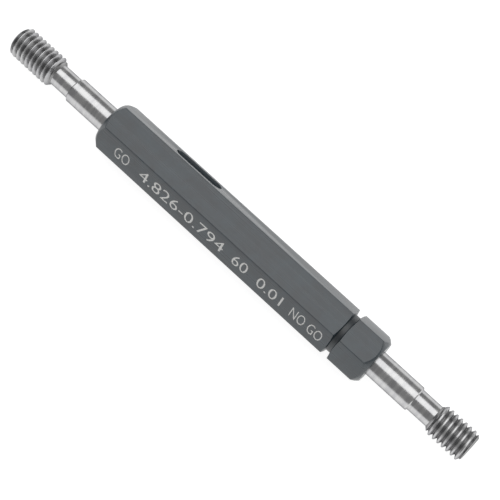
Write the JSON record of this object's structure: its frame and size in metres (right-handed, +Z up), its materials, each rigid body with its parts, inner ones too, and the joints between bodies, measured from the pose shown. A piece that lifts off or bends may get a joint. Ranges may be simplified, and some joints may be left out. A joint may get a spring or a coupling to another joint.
{
  "type": "thread plug gauge",
  "caption": "Double-ended thread plug gauge: hexagonal handle with a GO thread at one end, a shorter NO-GO thread at the other, a ring groove marking the NO-GO end and a drift slot.",
  "frame": {"origin": "on the gauge's axis, halfway along its whole length", "axes": "+X along the axis from the GO end to the NO-GO end; +Z up, square to the flat of the handle opposite the one it lies on; +Y across, towards the flat that carries the drift slot"},
  "size_m": [0.0854, 0.0082, 0.0072],
  "materials": {
    "handle": "satin",
    "members": "satin"
  },
  "bodies": {
    "root": {"handle": "handle", "go_member": "members", "no_go_member": "members"}
  },
  "joints": []
}
